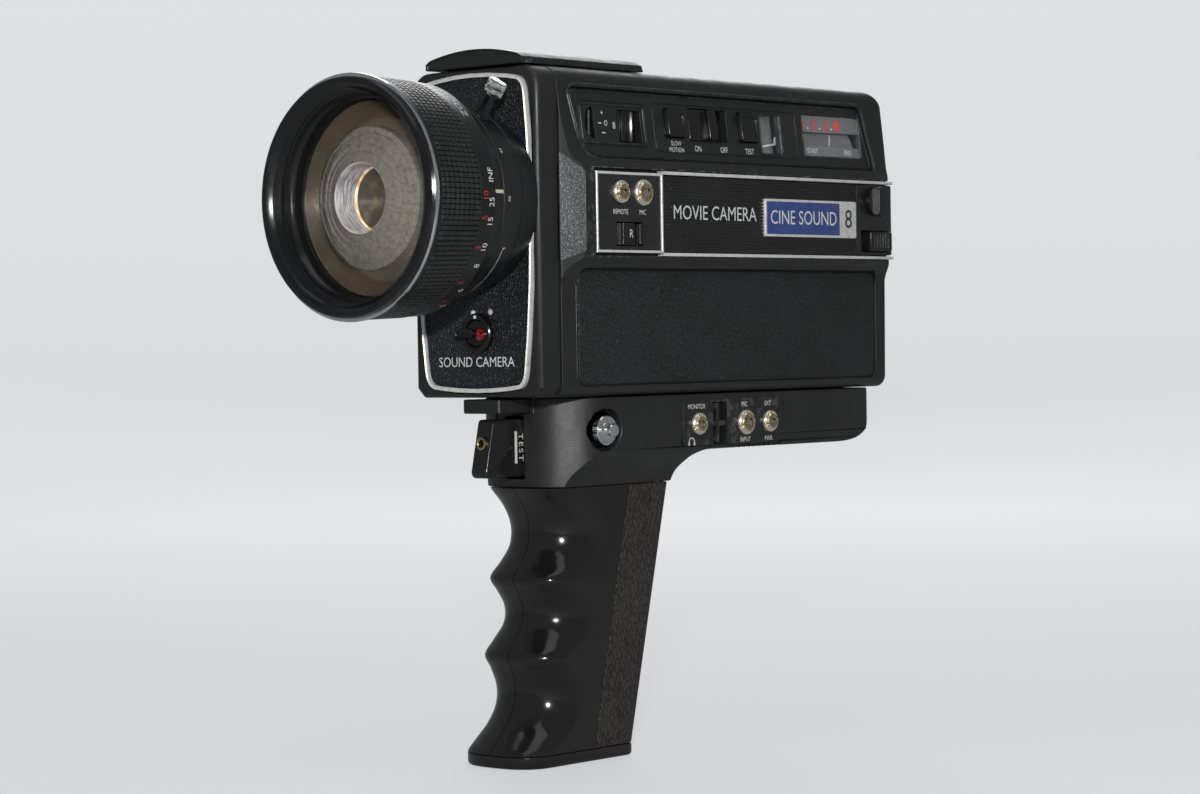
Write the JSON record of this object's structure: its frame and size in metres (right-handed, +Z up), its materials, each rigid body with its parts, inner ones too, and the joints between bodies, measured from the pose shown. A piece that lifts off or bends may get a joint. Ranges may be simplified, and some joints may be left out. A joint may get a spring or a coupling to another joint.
{
  "type": "super 8 sound cine camera",
  "caption": "Hand-held sound movie camera: zoom lens, long body with a band of controls and sockets, film door, pistol grip with trigger.",
  "frame": {"origin": "mouth of the tripod bush, on its axis, in the plane of the grip's underside", "axes": "+Z up; -Y is where the lens looks, so +Y runs to the eyepiece; +X is the operator's left, the side with the controls and sockets"},
  "size_m": [0.0714, 0.2482, 0.2185],
  "materials": {
    "casing_plastic": "fine matt charcoal moulding",
    "black_plastic": "satin black moulding",
    "front_leather": "dark leather grain",
    "side_leather": "fine black leather grain",
    "silver_trim": "satin silver, worn",
    "granular_grey": "granular grey",
    "cast_metal": "die-cast, black paint",
    "nickel_brass": "pale nickel over brass, turned",
    "bush_brass": "turned brass",
    "grip_gloss": "high gloss black moulding",
    "grip_leather": "brown-grey leather grain",
    "steel": "turned and ground",
    "cell_metal": "metal jackets of dry cells",
    "lens_black": "satin black anodised",
    "helicoid_metal": "machined",
    "front_glass": "coated optical glass",
    "inner_glass": "coated optical glass",
    "chrome": "polished, knurled",
    "knob_black": "gloss black moulding",
    "shutter_black": "black painted sheet",
    "mark_white": "off-white, printed",
    "board_green": "circuit board laminate",
    "rubber": "soft moulded rubber"
  },
  "bodies": {
    "camera_body": {"left_casing": "casing_plastic", "right_casing": "casing_plastic", "front_housing": "casing_plastic", "front_plate": "front_leather", "front_trim": "silver_trim", "top_fairing": "casing_plastic", "top_cap": "casing_plastic", "control_panel": "black_plastic", "band_panel": "black_plastic", "band_trim": "silver_trim", "band_nose": "granular_grey", "leather_panel": "side_leather", "lower_chassis": "cast_metal", "remote_jack": "nickel_brass", "mic_jack": "nickel_brass", "monitor_jack": "nickel_brass", "input_jack": "nickel_brass", "power_jack": "nickel_brass", "grip_left": "grip_gloss", "grip_right": "grip_gloss", "grip_rear_pad": "grip_leather", "base_plate": "grip_gloss", "tripod_bush": "steel", "battery_cells": "cell_metal", "chassis_frame": "cast_metal", "film_gate": "steel", "lens_barrel": "lens_black", "drive_motor": "steel", "circuit_board": "board_green", "sound_head": "steel", "viewfinder_tube": "black_plastic", "eyecup": "rubber"},
    "focus_carrier": {"focus_helicoid": "helicoid_metal"},
    "focus_group": {"focus_ring": "lens_black", "filter_rim": "lens_black", "front_element": "front_glass"},
    "zoom_group": {"zoom_ring": "lens_black", "zoom_lever": "chrome"},
    "variator": {"variator_group": "inner_glass"},
    "trigger_group": {"trigger": "grip_gloss", "release_socket": "bush_brass"},
    "slow_motion_key": {"slow_motion_button": "black_plastic"},
    "test_key": {"test_button": "black_plastic"},
    "power_slider": {"power_switch": "black_plastic"},
    "mode_slider": {"run_mode_slide": "black_plastic"},
    "exposure_disc": {"exposure_dial": "knob_black"},
    "aperture_disc": {"aperture_wheel": "knob_black"},
    "filter_selector": {"filter_knob": "knob_black"},
    "sound_selector": {"sound_knob": "knob_black"},
    "level_slider": {"level_slide": "black_plastic"},
    "lock_plunger": {"lock_button": "chrome"},
    "door": {"film_door": "casing_plastic"},
    "latch": {"door_latch": "black_plastic"},
    "hatch": {"battery_hatch": "grip_gloss"},
    "shutter": {"shutter_disc": "shutter_black"},
    "capstan_flywheel": {"capstan": "steel"},
    "takeup": {"takeup_spindle": "black_plastic"},
    "diopter": {"diopter_ring": "black_plastic"},
    "meter": {"meter_needle": "mark_white"},
    "counter": {"counter_dial": "mark_white"}
  },
  "joints": [
    {"name": "focus_travel", "type": "slide", "parent": "camera_body", "child": "focus_carrier", "axis": [0, -1, 0], "range_m": [-0.00015, 0.0029]},
    {"name": "focus_turn", "type": "hinge", "parent": "focus_carrier", "child": "focus_group", "pos_m": [0, -0.052, 0.172], "axis": [0, -1, 0], "range_deg": [-10, 200]},
    {"name": "zoom_turn", "type": "hinge", "parent": "camera_body", "child": "zoom_group", "pos_m": [0, -0.027, 0.172], "axis": [0, 1, 0], "range_deg": [-45, 70]},
    {"name": "zoom_travel", "type": "slide", "parent": "camera_body", "child": "variator", "axis": [0, 1, 0], "range_m": [-0.0055, 0.0085]},
    {"name": "trigger_pull", "type": "slide", "parent": "camera_body", "child": "trigger_group", "axis": [0, 1, 0], "range_m": [0, 0.004], "stiffness_N_per_m": 350},
    {"name": "slow_motion_press", "type": "slide", "parent": "camera_body", "child": "slow_motion_key", "axis": [-1, 0, 0], "range_m": [0, 0.002], "stiffness_N_per_m": 200},
    {"name": "test_press", "type": "slide", "parent": "camera_body", "child": "test_key", "axis": [-1, 0, 0], "range_m": [0, 0.002], "stiffness_N_per_m": 200},
    {"name": "power_shift", "type": "slide", "parent": "camera_body", "child": "power_slider", "axis": [0, 1, 0], "range_m": [0, 0.0058]},
    {"name": "mode_shift", "type": "slide", "parent": "camera_body", "child": "mode_slider", "axis": [0, 1, 0], "range_m": [0, 0.0036]},
    {"name": "exposure_turn", "type": "hinge", "parent": "camera_body", "child": "exposure_disc", "pos_m": [0.0234, 0.0137, 0.1955], "axis": [1, 0, 0], "range_deg": [-30, 30]},
    {"name": "aperture_turn", "type": "hinge", "parent": "camera_body", "child": "aperture_disc", "pos_m": [0.0206, 0.028, 0.1948], "axis": [0, 0, 1], "range_deg": [-120, 120]},
    {"name": "filter_turn", "type": "hinge", "parent": "camera_body", "child": "filter_selector", "pos_m": [0.0009, -0.013, 0.1322], "axis": [0, 1, 0], "range_deg": [0, 60]},
    {"name": "sound_turn", "type": "hinge", "parent": "camera_body", "child": "sound_selector", "pos_m": [0.0313, 0.1488, 0.1745], "axis": [1, 0, 0], "range_deg": [0, 90]},
    {"name": "level_shift", "type": "slide", "parent": "camera_body", "child": "level_slider", "axis": [0, -1, 0], "range_m": [0, 0.0026]},
    {"name": "lock_press", "type": "slide", "parent": "camera_body", "child": "lock_plunger", "axis": [-1, 0, 0], "range_m": [0, 0.0025], "stiffness_N_per_m": 250},
    {"name": "door_swing", "type": "hinge", "parent": "camera_body", "child": "door", "pos_m": [-0.0289, 0.0317, 0.168], "axis": [0, 0, 1], "range_deg": [0, 105]},
    {"name": "latch_shift", "type": "slide", "parent": "camera_body", "child": "latch", "axis": [0, 1, 0], "range_m": [0, 0.004]},
    {"name": "hatch_swing", "type": "hinge", "parent": "camera_body", "child": "hatch", "pos_m": [0, 0.0369, 0.0003], "axis": [1, 0, 0], "range_deg": [0, 95]},
    {"name": "capstan_spin", "type": "hinge", "parent": "camera_body", "child": "capstan_flywheel", "pos_m": [0.016, 0.05, 0.134], "axis": [1, 0, 0], "continuous": true},
    {"name": "shutter_spin", "type": "hinge", "parent": "camera_body", "child": "shutter", "pos_m": [0, 0.0267, 0.155], "axis": [0, 1, 0], "continuous": true},
    {"name": "takeup_spin", "type": "hinge", "parent": "camera_body", "child": "takeup", "pos_m": [0.015, 0.083, 0.174], "axis": [1, 0, 0], "continuous": true},
    {"name": "diopter_turn", "type": "hinge", "parent": "camera_body", "child": "diopter", "pos_m": [-0.011, 0.166, 0.2005], "axis": [0, 1, 0], "range_deg": [-45, 45]},
    {"name": "meter_swing", "type": "hinge", "parent": "camera_body", "child": "meter", "pos_m": [0.0222, 0.1085, 0.194], "axis": [1, 0, 0], "range_deg": [-15, 12]},
    {"name": "counter_turn", "type": "hinge", "parent": "camera_body", "child": "counter", "pos_m": [0.0226, 0.132, 0.184], "axis": [1, 0, 0], "range_deg": [0, 270]}
  ],
  "couplings": [
    {"joint": "focus_travel", "follows": "focus_turn", "m_per_rad": 0.0008},
    {"joint": "zoom_travel", "follows": "zoom_turn", "m_per_rad": 0.0068},
    {"joint": "shutter_spin", "follows": "capstan_spin", "ratio": 1.8},
    {"joint": "takeup_spin", "follows": "capstan_spin", "ratio": 0.08}
  ]
}
